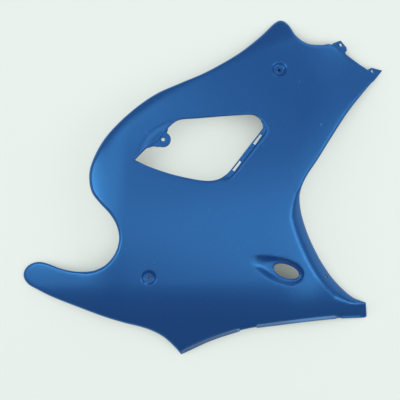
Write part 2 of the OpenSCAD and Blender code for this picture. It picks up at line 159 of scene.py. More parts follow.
# The skin's crown, upper band, belly, tail, front and dished shelf: places, sizes and softness
CROWN_AT = (0.0, -40.0)
CROWN_HALF = (775.0, 376.0)
BAND_AT = (425.0, -579.0)
BAND_R = 897.5
BAND_SOFT = 26.0
BELLY_AT = (-187.0, -191.0)
BELLY_LEAN = -0.03
BELLY_SOFT = 80.0
TAIL_AT = -150.0
TAIL_SOFT = 90.0
FRONT_AT = 170.0
FRONT_LEAN = 0.1
FRONT_SOFT = 90.0
SHELF_AT = (-88.0, 88.0)
SHELF_HALF = (56.0, 27.0)
SHELF_TURN = 45.0
SHELF_SOFT = 0.45

# Rows of points across an edge
EDGE_ROWS = 9
# Spacing of points along the edges, the drop and the plates' rims, then over the skin and the plates
EDGE_PITCH = 2.5
DROP_PITCH = 1.0
RIM_PITCH = 1.5
SKIN_PITCH = 5.5
PLATE_PITCH = 4.0
# Room beside an edge and beside a seat or recess, as shares of the skin's spacing
EDGE_ROOM = 0.6
ROUND_ROOM = 0.5
# Room beside a plate's rim, a plate's hole and a hole cut in an edge
RIM_ROOM = 2.5
PLATE_HOLE_ROOM = 2.0
CUT_ROOM = 0.45
# Sides of the seats, of the plates' holes and of the flange's hole
SEAT_SIDES = 48
PLATE_HOLE_SIDES = 32
FLANGE_HOLE_SIDES = 20
# Eased rim of a hole: width and fall
HOLE_EASE = 0.5
HOLE_FALL = 0.35
# Rings of a seat: their band inside its flat and their number, then how far past its mouth and their number
SEAT_FLAT_BAND = (4.0, 1.0)
SEAT_FLAT_RINGS = 3
SEAT_PAST = 1.5
SEAT_WALL_RINGS = 10
# How far inside its flat a seat's wall begins, and how much longer it is than from the flat to the mouth
SEAT_BEGIN = 0.6
SEAT_LONGER = 1.6
# Cells round half of the recess, and rows up its wall
RECESS_CELLS = 36
RECESS_ROWS = 15
# Corner radius of a slot
SLOT_CORNER = 1.2
# Slope of the front flange at its hole, as a share of the slope at its foot
FLANGE_SLOPE = 0.9
# Limits in building a wall: mitre, shortest lip, rows of a lip, points that count as one, batch, least size
MITRE_LIMIT = 0.5
LEAST_LIP = 0.2
LIP_ROWS = (0.5, 1.0)
MERGE = 1e-4
BATCH = 2000
TINY = 1e-9
# A row's point is kept while it is nearly its own distance from the edge, by this share and this slack
ROW_SHARE = 0.97
ROW_SLACK = 0.02
# Degrees between faces that show as a crease
CREASE = 55.0

# Faint moulding marks under the paint: x, y and radius
MARKS = [(-109.6, 109.4, 6.5), (191.6, 210.6, 3.5), (233.6, 126.6, 4.5)]
# Middle lines of the bottom edge's two strips, as arcs: middle, radius, from x and to x
STRIPS = [
    (210.2, -802.8, 536.0, -43.0, 73.0),
    (543.2, -3373.8, 3126.6, 106.0, 268.0),
]
# Half the width of their painted pale highlight, with some dust, how far it fades beyond that, and how pale
# it is
STRIP_HALF = 3.2
STRIP_FADE = 0.8
STRIP_SHEEN_SHARE = 0.55
# How far the paint's roughness wanders either way
ROUGH_SPREAD = 0.03
# Sizes of the patterns of paint and bare plastic, in metres; real dust and grain are too fine to show here
CLOUD_SIZE = 0.07
SPECK_SIZE = 0.003
PEEL_SIZE = 0.0018
GRAIN_SIZE = 1 / 900
# Noise at which dust begins and is whole, and how pale it is
DUST_FROM = 0.7
DUST_FULL = 0.8
DUST_SHARE = 0.35
# Heights of the moulding marks and of peel and grain, in metres, and how strongly these show
MARK_HEIGHT = 0.0006
PEEL_HEIGHT = 0.00005
PEEL_STRENGTH = 0.3
# Refraction of the coat and of bare ABS, and the roughness of bare ABS
COAT_IOR = 1.5
ABS_IOR = 1.54
ABS_ROUGHNESS = 0.6

# Share of the open floor that shows its plain colour whatever the light
EVEN_SHARE = 0.75
# How near a cover counts, in metres, and how open the floor is where that share begins and is whole; where
# the panel covers the floor the share falls away, a painted shade under and beside it and in its holes
OPEN_REACH = 0.13
OPEN_FROM = 0.3
OPEN_FULL = 0.75

# Half the floor's side, the world's strength, and the camera: lens and sensor in mm, reach and place
FLOOR_HALF = 4.0
WORLD_STRENGTH = 0.1
CAMERA_LENS = 900.0
CAMERA_SENSOR = 36.0
CAMERA_REACH = 100.0
CAMERA_AT = (-0.0064, -0.0254, 20.0)
# Side of each lamp and its distance, in metres
LAMP_SIZE = 1.3
LAMP_AWAY = 3.0
# Soft lamps: name, degrees round from +X, degrees above the floor and watts
LAMPS = [
    ("overhead", 300, 80, 6.6), ("far_high", 120, 60, 8.0), ("left_high", 180, 65, 7.6),
    ("right_high", 0, 65, 6.1), ("near_right", 315, 52, 8.1), ("right", 0, 40, 18.8),
    ("left", 180, 40, 23.0), ("far_low", 62, 28, 15.0),
]


class PanelForm(bpy.types.PropertyGroup):
    """Sizes of the moulding, as on the solid."""

    crown: FloatProperty(
        name="Crown", description="Rise of the middle over its surroundings", default=0.072, unit="LENGTH")
    band_slope: FloatProperty(
        name="Band slope", description="Extra fall of the upper band outside its crest", default=0.34)
    belly_slope: FloatProperty(
        name="Belly slope", description="Extra fall of the belly below its crest", default=0.36)
    tail_slope: FloatProperty(name="Tail slope", description="Extra fall of the tail", default=0.38)
    front_slope: FloatProperty(name="Front slope", description="Extra fall of the front end", default=0.25)
    shelf_depth: FloatProperty(
        name="Shelf depth", description="Depth of the dish round the ear", default=0.003, unit="LENGTH")
    recess_depth: FloatProperty(
        name="Recess depth", description="Depth of the intake recess", default=0.012, unit="LENGTH")
    oval_l: FloatProperty(
        name="Oval length", description="Length of the oval opening", default=0.053, unit="LENGTH")
    oval_w: FloatProperty(
        name="Oval width", description="Width of the oval opening", default=0.026, unit="LENGTH")
    seat_mouth: FloatProperty(
        name="Seat mouth", description="Width of a screw seat at the skin", default=0.031, unit="LENGTH")
    seat_flat: FloatProperty(
        name="Seat flat", description="Width of a screw seat's flat bottom", default=0.019, unit="LENGTH")
    seat_depth: FloatProperty(
        name="Seat depth", description="Depth of a screw seat", default=0.0055, unit="LENGTH")
    screw_hole: FloatProperty(
        name="Screw hole", description="Diameter of the seat and ear holes", default=0.007, unit="LENGTH")
    tab_hole: FloatProperty(
        name="Tab hole", description="Diameter of the tab and flange holes", default=0.0058, unit="LENGTH")
    tab_step: FloatProperty(
        name="Tab step", description="Step down to the ear and the tabs", default=0.0024, unit="LENGTH")
    ear_radius: FloatProperty(
        name="Ear radius", description="Radius of the screw ear", default=0.0154, unit="LENGTH")
    slot_l: FloatProperty(
        name="Slot length", description="Length of a ledge slot", default=0.024, unit="LENGTH")
    slot_w: FloatProperty(
        name="Slot width", description="Width of a ledge slot", default=0.005, unit="LENGTH")


class PanelLook(bpy.types.PropertyGroup):
    """Colours as sRGB hex values, and the paint's finish."""

    paint: StringProperty(name="Paint", description="Blue pigment of the base coat", default="#2A58A2")
    paint_deep: StringProperty(
        name="Deep paint", description="Pigment where the coat lies thicker", default="#26539A")
    flake: StringProperty(name="Flake", description="Metal flakes seen through the coat", default="#0C86CA")
    # The dust colour also paints the pale highlight along the bottom strips
    dust: StringProperty(name="Dust", description="Dust that dulls the paint", default="#8CA2BE")
    raw: StringProperty(name="Raw plastic", description="Bare moulding on the hollow side", default="#23262B")
    floor: StringProperty(name="Floor", description="Pale paper under the panel", default="#EEF7F2")
    roughness: FloatProperty(name="Roughness", description="Roughness of the satin paint", default=0.33)
    flakes: FloatProperty(name="Flakes", description="Share of the paint that is metal flake", default=0.3)
    gloss: FloatProperty(name="Gloss", description="Strength of the aged coat's own shine", default=0.33)


def form_mm(name):
    """One length of the moulding in millimetres."""
    return getattr(bpy.context.scene.panel_form, name) / MM


def soft(t):
    """A smooth step from 0 to 1."""
    c = np.clip(t, 0, 1)
    return c * c * (3 - 2 * c)


def bend(d, slope, r):
    """A fall that begins at d = 0 and reaches its slope after the length r."""
    return np.where(d <= 0, 0, np.where(d < r, slope * d * d / (2 * r), slope * (d - r / 2)))


def turned(p, degrees):
    """Plan points seen from axes turned by that angle."""
    c, s = math.cos(math.radians(degrees)), math.sin(math.radians(degrees))
    return np.column_stack([p[:, 0] * c + p[:, 1] * s, p[:, 1] * c - p[:, 0] * s])


def skin(p):
    """Height of the painted face over its own datum at plan points."""
    form = bpy.context.scene.panel_form
    x, y = p[:, 0], p[:, 1]
    shelf = turned(p - SHELF_AT, SHELF_TURN) / SHELF_HALF
    height = form_mm("crown") * (1 - ((x - CROWN_AT[0]) / CROWN_HALF[0]) ** 2
                                 - ((y - CROWN_AT[1]) / CROWN_HALF[1]) ** 2)
    height = height - bend(np.hypot(x - BAND_AT[0], y - BAND_AT[1]) - BAND_R, form.band_slope, BAND_SOFT)
    below = BELLY_AT[1] - y - BELLY_LEAN * (x - BELLY_AT[0])
    height = height - bend(below, form.belly_slope, BELLY_SOFT)
    height = height - bend(TAIL_AT - x, form.tail_slope, TAIL_SOFT)
    height = height - bend(x - FRONT_LEAN * y - FRONT_AT, form.front_slope, FRONT_SOFT)
    return height - form_mm("shelf_depth") * soft((1 - np.hypot(shelf[:, 0], shelf[:, 1])) / SHELF_SOFT)


class Level:
    """The floor under the skin's datum, as a plane read from the solid."""

    def __init__(self):
        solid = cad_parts[NODE].data
        tree = BVHTree.FromPolygons([v.co for v in solid.vertices], [p.vertices for p in solid.polygons])
        above = CAD_HIGH.z + 1
        tops = []
        for x, y in LEVEL_AT:
            hit = tree.ray_cast(Vector((x * MM, y * MM, above)), Vector((0, 0, -1)))[0]
            if hit is None:
                raise RuntimeError(f"the solid has no skin at {x}, {y}")
            tops.append(hit.z / MM)
        at = np.array(LEVEL_AT)
        self.plane = np.linalg.solve(np.column_stack([at, np.ones(len(at))]), skin(at) - tops)

    def top(self, p):
        """Height of the painted face over the floor."""
        p = np.asarray(p, float).reshape(-1, 2)
        return skin(p) - p @ self.plane[:2] - self.plane[2]

    def lay(self, p, fall=0.0):
        """Plan points as points on the painted face, or that far below it."""
        return np.column_stack([p, self.top(p) - fall])

    def tangent(self, at):
        """The face's point over a plan point, its outward normal and two axes across it."""
        x, y = at
        e = 1.0
        sx = (self.top([(x + e, y)])[0] - self.top([(x - e, y)])[0]) / (2 * e)
        sy = (self.top([(x, y + e)])[0] - self.top([(x, y - e)])[0]) / (2 * e)
        normal = np.array([-sx, -sy, 1.0]) / math.sqrt(1 + sx * sx + sy * sy)
        across = np.array([1.0, 0, sx])
        across = across / np.linalg.norm(across)
        return np.array([x, y, self.top([at])[0]]), normal, across, np.cross(normal, across)


def smooth_curve(knots, pitch):
    """A closed curve through the knots: its plan points, and each one's place along the list."""
    n = len(knots)
    at = np.array([k[:2] for k in knots], float)
    corner = [len(k) > 3 for k in knots]
    points, places = [], []
    for i in range(n):
        b, c = at[i], at[(i + 1) % n]
        a = 2 * b - c if corner[i] else at[i - 1]
        d = 2 * c - b if corner[(i + 1) % n] else at[(i + 2) % n]
        steps = max(2, round(np.linalg.norm(c - b) / pitch))
        t = (np.arange(steps) / steps)[:, None]
        points.append((2 * b + (c - a) * t + (2 * a - 5 * b + 4 * c - d) * t ** 2
                       + (3 * b - a - 3 * c + d) * t ** 3) / 2)
        places.append(i + t[:, 0])
    return np.vstack(points), np.concatenate(places)


def edge_profile(name):
    """Rows across an edge, outwards: distance in, fall and share of level; and the length of its lip."""
    s = np.linspace(0, 1, EDGE_ROWS)
    if name in ROLLED:
        r, lip = ROLLED[name]
        angle = s * math.pi / 2
        return np.column_stack([r * (1 - np.sin(angle)), r * (1 - np.cos(angle)), 0 * s]), lip
    if name in SWEPT:
        w, fall = SWEPT[name]
        return np.column_stack([w * (1 - s), fall * s ** SWEEP_POWER, 0 * s]), 0.0
    w, step, level = STEPPED[name]
    ledge = np.array([[w / 2, step, level], [STEP_EDGE, step, level], [0, step + STEP_EDGE, level]])
    down = np.linspace(0, 1, EDGE_ROWS - len(ledge))
    slope = np.column_stack([w + step * (1 - down), step * soft(down), level * down])
    return np.vstack([slope, ledge]), 0.0


def profiles_at(knots, places):
    """The profile rows and the lip at each place along a list of knots."""
    rows, lips = zip(*[edge_profile(k[2]) for k in knots])
    rows, lips = np.array(rows), np.array(lips)
    i = np.floor(places).astype(int)
    t = places - i
    j = (i + 1) % len(knots)
    return rows[i] * (1 - t)[:, None, None] + rows[j] * t[:, None, None], lips[i] * (1 - t) + lips[j] * t


def inward(loop, side):
    """Mitred directions away from a closed edge, to its left for side 1 and its right for side -1."""
    before, after = loop - np.roll(loop, 1, 0), np.roll(loop, -1, 0) - loop
    before = before / np.linalg.norm(before, axis=1)[:, None]
    after = after / np.linalg.norm(after, axis=1)[:, None]
    m = side * np.column_stack([-before[:, 1], before[:, 0]])
    o = side * np.column_stack([-after[:, 1], after[:, 0]])
    return (m + o) / np.maximum(1 + (m * o).sum(1), MITRE_LIMIT)[:, None]


def distance_to(loop, p):
    """Distance from plan points to a closed polyline, and the nearest corner of it."""
    start, run = loop, np.roll(loop, -1, 0) - loop
    length2 = (run ** 2).sum(1)
    best, near = [], []
    for chunk in np.array_split(p, max(1, len(p) // BATCH)):
        d = chunk[:, None] - start[None]
        t = np.clip((d * run).sum(2) / length2, 0, 1)
        gap = np.linalg.norm(d - t[..., None] * run, axis=2)
        k = gap.argmin(1)
        best.append(gap[np.arange(len(chunk)), k])
        near.append((k + np.round(t[np.arange(len(chunk)), k]).astype(int)) % len(loop))
    return np.concatenate(best), np.concatenate(near)


def inside(loop, p):
    """Which plan points lie inside a closed polyline."""
    x, y = p[:, 0], p[:, 1]
    odd = np.zeros(len(p), bool)
    for (x0, y0), (x1, y1) in zip(loop, np.roll(loop, -1, 0)):
        if y0 != y1:
            crosses = (y0 > y) != (y1 > y)
            odd ^= crosses & (x < (x1 - x0) * (y - y0) / (y1 - y0) + x0)
    return odd


def circle(n, radius):
    """Points round a circle in its own plane, anticlockwise."""
    turn = np.arange(n) * 2 * math.pi / n
    return radius * np.column_stack([np.cos(turn), np.sin(turn)])


def vertex_normals(points, faces):
    """Outward normals, each face counting by its area."""
    a, b, c = (points[faces[:, i]] for i in range(3))
    face = np.cross(b - a, c - a)
    total = np.zeros_like(points)
    for i in range(3):
        np.add.at(total, faces[:, i], face)
    return total / np.maximum(np.linalg.norm(total, axis=1), TINY)[:, None]


class Wall:
    """A moulded wall, gathered as plan points with their places in space, then triangulated and closed."""

    def __init__(self, level):
        self.level, self.count = level, 0
        self.plan, self.place, self.lines = [], [], []
        self.lips, self.holes, self.outer = [], [], None

    def add(self, plan, place, whole=None):
        """Adds points along a closed line, with the lines between neighbours that are both there."""
        whole = np.ones(len(plan), bool) if whole is None else whole
        number = np.cumsum(whole) - 1 + self.count
        after = np.roll(number, -1)
        joined = whole & np.roll(whole, -1)
        self.lines += list(zip(number[joined].tolist(), after[joined].tolist()))
        self.plan.append(plan[whole])
        self.place.append(place[whole])
        self.count += int(whole.sum())
        return number[whole]

    def edge(self, loop, rows, lips, side, sunk=0.0):
        """Adds the rows of points across a closed edge, leaving room for the holes that are cut in it."""
        away = inward(loop, side)
        inner = loop + away * rows[:, 0, :1]
        for j in range(rows.shape[1]):
            off, fall, share = rows[:, j].T
            p = loop + away * off[:, None]
            z = (1 - share) * self.level.top(p) + share * self.level.top(inner) - fall - sunk
            keep = distance_to(loop, p)[0] >= off * ROW_SHARE - ROW_SLACK
            for hole, room in self.holes:
                keep &= ~inside(hole, p) & (distance_to(hole, p)[0] > room)
            ids = self.add(p, np.column_stack([p, z]), keep)
        self.lips.append((ids, lips, side))

    def cut(self, loop, rows, edge):
        """Adds a hole's own line of points where it lies in an edge with these rows."""
        gap, near = distance_to(edge, loop)
        fall = np.array([np.interp(g, rows[k, ::-1, 0], rows[k, ::-1, 1]) for g, k in zip(gap, near)])
        self.add(loop, self.level.lay(loop, fall))

    def fill(self, pitch, free):
        """Adds a triangular grid of points where free says so."""
        low, high = self.outer.min(0), self.outer.max(0)
        ys = np.arange(low[1], high[1], pitch * math.sqrt(3) / 2)
        grid = np.array([(x + pitch / 2 * (j % 2), y) for j, y in enumerate(ys)
                         for x in np.arange(low[0], high[0], pitch)])
        grid = grid[inside(self.outer, grid)]
        grid = grid[free(grid)]
        self.plan.append(grid)
        self.place.append(self.level.lay(grid))
        self.count += len(grid)

    def close(self, thickness, axis=None):
        """Triangulates the wall and adds its lips and back: points, faces and which faces are back."""
        plan, place = np.vstack(self.plan), np.vstack(self.place)
        verts, _, faces, origin = geometry.delaunay_2d_cdt(
            [Vector(p) for p in plan], self.lines, [], 0, MERGE)[:4]
        at = np.array([tuple(v) for v in verts])
        source = np.array([o[0] if o else -1 for o in origin])
        for i in np.flatnonzero(source < 0):
            source[i] = ((plan - at[i]) ** 2).sum(1).argmin()
        points = place[source]
        faces = np.array([f for f in faces if len(f) == 3])
        middle = at[faces].mean(1)
        keep = inside(self.outer, middle)
        for hole, _ in self.holes:
            keep &= ~inside(hole, middle)
        faces = faces[keep]
        where = np.full(len(plan), -1)
        for i, given in enumerate(origin):
            where[list(given)] = i
        for ids, lips, side in self.lips:
            ring = top = where[ids]
            for share in LIP_ROWS:
                low = points[top] - np.column_stack([0 * lips, 0 * lips, np.maximum(lips, LEAST_LIP) * share])
                fresh = np.arange(len(points), len(points) + len(ids))
                points = np.vstack([points, low])
                a, b, c, d = ring, np.roll(ring, -1), np.roll(fresh, -1), fresh
                strip = np.vstack([np.column_stack([b, a, d]), np.column_stack([b, d, c])])
                faces = np.vstack([faces, strip if side > 0 else strip[:, ::-1]])
                ring = fresh
        used = np.unique(faces)
        number = np.full(len(points), -1)
        number[used] = np.arange(len(used))
        points, faces = points[used], number[faces]
        back = points - thickness * (vertex_normals(points, faces) if axis is None else np.asarray(axis))
        n = len(points)
        directed = np.vstack([faces[:, [0, 1]], faces[:, [1, 2]], faces[:, [2, 0]]])
        key, reverse = directed[:, 0] * n + directed[:, 1], directed[:, 1] * n + directed[:, 0]
        a, b = directed[~np.isin(key, reverse)].T
        rim = np.vstack([np.column_stack([b, a, a + n]), np.column_stack([b, a + n, b + n])])
        is_back = np.arange(2 * len(faces) + len(rim)) >= len(faces)
        return np.vstack([points, back]), np.vstack([faces, faces[:, ::-1] + n, rim]), is_back


def part_of(curve, places, first, last, cells):
    """A stretch of a closed curve from one knot to another, split into equal cells."""
    chosen = (places >= first) & (places < last)
    run = np.vstack([curve[chosen], curve[np.argmin(np.abs(places - last % len(DROP)))]])
    along = np.concatenate([[0], np.cumsum(np.linalg.norm(np.diff(run, axis=0), axis=1))])
    at = np.arange(cells) / cells * along[-1]
    return np.column_stack([np.interp(at, along, run[:, i]) for i in (0, 1)])


def slot_loop(slot):
    """The rounded outline of a slot in the vent's ledge."""
    x, y, turn = slot
    r = SLOT_CORNER
    loop = []
    for k, (sx, sy) in enumerate(((1, 1), (-1, 1), (-1, -1), (1, -1))):
        for step in range(4):
            angle = math.radians(90 * k + 30 * step)
            loop.append((sx * (form_mm("slot_l") / 2 - r) + r * math.cos(angle),
                         sy * (form_mm("slot_w") / 2 - r) + r * math.sin(angle)))
    return turned(np.array(loop), -turn) + (x, y)


def add_recess(wall):
    """The drop-shaped recess with its oval opening, added in rows from the opening outwards."""
    k = np.arange(RECESS_CELLS) / RECESS_CELLS
    angle = np.radians(np.concatenate([180 + (180 + OVAL_SPLIT) * k, OVAL_SPLIT + (180 - OVAL_SPLIT) * k]))
    oval = np.column_stack([form_mm("oval_l") / 2 * np.cos(angle), form_mm("oval_w") / 2 * np.sin(angle)])
    oval = turned(oval, -OVAL_TURN) + OVAL_AT
    curve, places = smooth_curve(DROP, DROP_PITCH)
    drop = np.vstack([part_of(curve, places, 0, DROP_FRONT, RECESS_CELLS),
                      part_of(curve, places, DROP_FRONT, len(DROP), RECESS_CELLS)])
    profile, lip = edge_profile("oval")
    rows = np.repeat(profile[None], len(oval), 0)
    depth = form_mm("recess_depth")
    inset = oval + inward(oval, -1) * rows[:, 0, :1]
    wall.edge(oval, rows, np.full(len(oval), lip), -1, depth)
    for v in np.linspace(0, 1, RECESS_ROWS)[1:]:
        p = (1 - v) * inset + v * drop
        wall.add(p, wall.level.lay(p, depth * soft(1 - v)))
    wall.holes.append((oval, 0))
    return drop


def add_seat(wall, at):
    """A dished screw seat, square to the skin, added in rings from its hole outwards."""
    origin, normal, across, along = wall.level.tangent(at)
    hole, flat, mouth = (form_mm(k) / 2 for k in ("screw_hole", "seat_flat", "seat_mouth"))
    rim = [hole, hole + HOLE_EASE]
    bottom = np.linspace(flat - SEAT_FLAT_BAND[0], flat - SEAT_FLAT_BAND[1], SEAT_FLAT_RINGS)
    rise = np.linspace(flat, mouth + SEAT_PAST, SEAT_WALL_RINGS)
    for r in np.concatenate([rim, bottom, rise]):
        ring = circle(SEAT_SIDES, r)
        p = origin[:2] + np.outer(ring[:, 0], across[:2]) + np.outer(ring[:, 1], along[:2])
        depth = form_mm("seat_depth") * (1 - soft((r - flat + SEAT_BEGIN) / (mouth - flat + SEAT_LONGER)))
        eased = HOLE_FALL if r == hole else 0
        wall.add(p, wall.level.lay(p) - (depth + eased) * normal)
        if r == hole:
            wall.holes.append((p, 0))
    return p


def flange_hole_loop(outline):
    """The plan of the round hole in the steep front flange, narrowed by the flange's slope."""
    near = distance_to(outline, np.array([FLANGE_HOLE]))[1][0]
    slope = SWEPT["front"][1] / SWEPT["front"][0] * SWEEP_POWER * FLANGE_SLOPE
    steep = math.sqrt(1 + slope * slope)
    outward = -inward(outline, 1)[near]
    outward = outward / np.linalg.norm(outward)
    along = np.array([-outward[1], outward[0]])
    ring = circle(FLANGE_HOLE_SIDES, form_mm("tab_hole") / 2)
    return np.array(FLANGE_HOLE) + np.outer(ring[:, 0] / steep, outward) + np.outer(ring[:, 1], along)


def add_shell(level):
    """The main moulding: rolled outline, vent with its slotted ledge, recess, seats and the holed flange."""
    wall = Wall(level)
    outline, outline_places = smooth_curve(OUTLINE, EDGE_PITCH)
    vent, vent_places = smooth_curve(VENT, EDGE_PITCH)
    outline_rows, outline_lips = profiles_at(OUTLINE, outline_places)
    vent_rows, vent_lips = profiles_at(VENT, vent_places)
    wall.outer = outline
    for start, end, name, lift in STRIP_BREAKS:
        there = (outline[:, 1] < BOTTOM_EDGE) & (outline[:, 0] > start) & (outline[:, 0] < end)
        outline_rows[there], outline_lips[there] = edge_profile(name)
        outline[there, 1] += lift

    flange_hole = flange_hole_loop(outline)
    slots = [slot_loop(s) for s in SLOTS]
    for hole in [flange_hole] + slots:
        wall.holes.append((hole, CUT_ROOM))

    wall.edge(outline, outline_rows, outline_lips, 1)
    wall.edge(vent, vent_rows, vent_lips, -1)
    wall.holes.append((vent, 0))
    wall.cut(flange_hole, outline_rows, outline)
    for slot in slots:
        wall.cut(slot, vent_rows, vent)
    rounds = [add_recess(wall)] + [add_seat(wall, at) for at in SEATS]

    def free(p):
        clear = np.ones(len(p), bool)
        for loop, rows in ((outline, outline_rows), (vent, vent_rows)):
            gap, near = distance_to(loop, p)
            clear &= gap > rows[near, 0, 0] + SKIN_PITCH * EDGE_ROOM
        clear &= ~inside(vent, p)
        for loop in rounds:
            clear &= ~inside(loop, p) & (distance_to(loop, p)[0] > SKIN_PITCH * ROUND_ROOM)
        return clear

    wall.fill(SKIN_PITCH, free)
    return wall.close(WALL)


class Plane:
    """The tangent plane of the skin at a plan point, used in place of the skin for a flat plate."""

    def __init__(self, level, at):
        self.origin, self.normal, self.across, self.along = level.tangent(at)

    def top(self, p):
        """Height of the plane over the floor."""
        p = np.asarray(p, float).reshape(-1, 2)
        slope = -self.normal[:2] / self.normal[2]
        return self.origin[2] + (p - self.origin[:2]) @ slope

    def lay(self, p, fall=0.0):
        """Plan points as points on the plane, or that far below it."""
        return np.column_stack([p, self.top(p) - fall])

    def ring(self, at, n, radius):
        """The plan of a circle that lies in the plane."""
        c = circle(n, radius)
        return np.asarray(at) + np.outer(c[:, 0], self.across[:2]) + np.outer(c[:, 1], self.along[:2])


def add_plate(level, at, outline, holes, hole_d):
    """A flat plate a step below the skin, with an eased edge and round holes."""
    plane = Plane(level, at)
    wall = Wall(plane)
    wall.outer = outline
    profile, lip = edge_profile("plate")
    wall.edge(outline, np.repeat(profile[None], len(outline), 0), np.full(len(outline), lip), 1)
    for hole in holes:
        loop = plane.ring(hole, PLATE_HOLE_SIDES, hole_d / 2)
        wider = plane.ring(hole, PLATE_HOLE_SIDES, hole_d / 2 + HOLE_EASE)
        wall.add(loop, plane.lay(loop, HOLE_FALL))
        wall.add(wider, plane.lay(wider))
        wall.holes.append((loop, 0))

    def free(p):
        clear = distance_to(outline, p)[0] > RIM_ROOM
        for hole in holes:
            clear &= np.hypot(*(p - hole).T) > hole_d / 2 + PLATE_HOLE_ROOM
        return clear

    wall.fill(PLATE_PITCH, free)
    points, faces, is_back = wall.close(WALL, plane.normal)
    return points - form_mm("tab_step") * plane.normal, faces, is_back


def ear_outline(level):
    """The ear's round end and its web to the rim, as one closed outline."""
    plane = Plane(level, EAR_AT)
    round_end = plane.ring(EAR_AT, EAR_SIDES, form_mm("ear_radius"))
    first, last = EAR_FREE
    kept = round_end[list(range(first, EAR_SIDES)) + list(range(last))]
    return smooth_curve([tuple(p) for p in kept] + EAR_WEB, RIM_PITCH)[0]


def tabs_outline():
    """The front tabs' outline, a corner at every point."""
    return smooth_curve([(*p, None, 1) for p in TABS_PLAN], RIM_PITCH)[0]


def linear(hex_colour):
    """An sRGB hex colour as linear red, green, blue and alpha."""
    srgb = [int(hex_colour[i:i + 2], 16) / 255 for i in (1, 3, 5)]
    return [c / 12.92 if c <= 0.04045 else ((c + 0.055) / 1.055) ** 2.4 for c in srgb] + [1.0]


def add_node(tree, kind, inputs=None, **settings):
    """A shader node with its settings, and its inputs set to values or linked to sockets."""
    node = tree.nodes.new(kind)
    for name, value in settings.items():
        setattr(node, name, value)
    for name, value in (inputs or {}).items():
        if isinstance(value, bpy.types.NodeSocket):
            tree.links.new(value, node.inputs[name])
        else:
            node.inputs[name].default_value = value
    return node


def new_material(name):
    """An empty material with its tree and its output node."""
    material = bpy.data.materials.new(name)
    material.use_nodes = True
    tree = material.node_tree
    tree.nodes.clear()
    return material, tree, tree.nodes.new("ShaderNodeOutputMaterial")


def marks_height(tree, plan):
    """Faint round marks of the mould's pins, as a height from 0 to 1."""
    total = 0.0
    for x, y, r in MARKS:
        gap = add_node(tree, "ShaderNodeVectorMath", {0: plan, 1: (x * MM, y * MM, 0)}, operation="DISTANCE")
        dome = add_node(tree, "ShaderNodeMapRange", {
            "Value": gap.outputs["Value"], "From Min": r * MM, "From Max": 0.0},
            interpolation_type="SMOOTHSTEP")
        total = add_node(tree, "ShaderNodeMath", {0: dome.outputs["Result"], 1: total},
                         operation="ADD").outputs[0]
    return total


def strip_sheen_and_dust(tree, plan):
    """Painted pale highlight, with some dust, on the stepped strips along the bottom edge, as a share of the
    colour.
    """
    along = add_node(tree, "ShaderNodeSeparateXYZ", {0: plan}).outputs["X"]
    total = 0.0
    for x, y, r, start, end in STRIPS:
        out = add_node(tree, "ShaderNodeVectorMath", {0: plan, 1: (x * MM, y * MM, 0)}, operation="DISTANCE")
        share = STRIP_SHEEN_SHARE
        for value, middle, half in ((out.outputs["Value"], r, STRIP_HALF),
                                    (along, (start + end) / 2, (end - start) / 2)):
            offset = add_node(tree, "ShaderNodeMath", {0: value, 1: middle * MM}, operation="SUBTRACT")
            away = add_node(tree, "ShaderNodeMath", {0: offset.outputs[0]}, operation="ABSOLUTE")
            share = add_node(tree, "ShaderNodeMapRange", {
                "Value": away.outputs[0], "From Min": (half + STRIP_FADE) * MM, "From Max": half * MM,
                "To Max": share}).outputs["Result"]
        total = add_node(tree, "ShaderNodeMath", {0: share, 1: total}, operation="ADD").outputs[0]
    return total


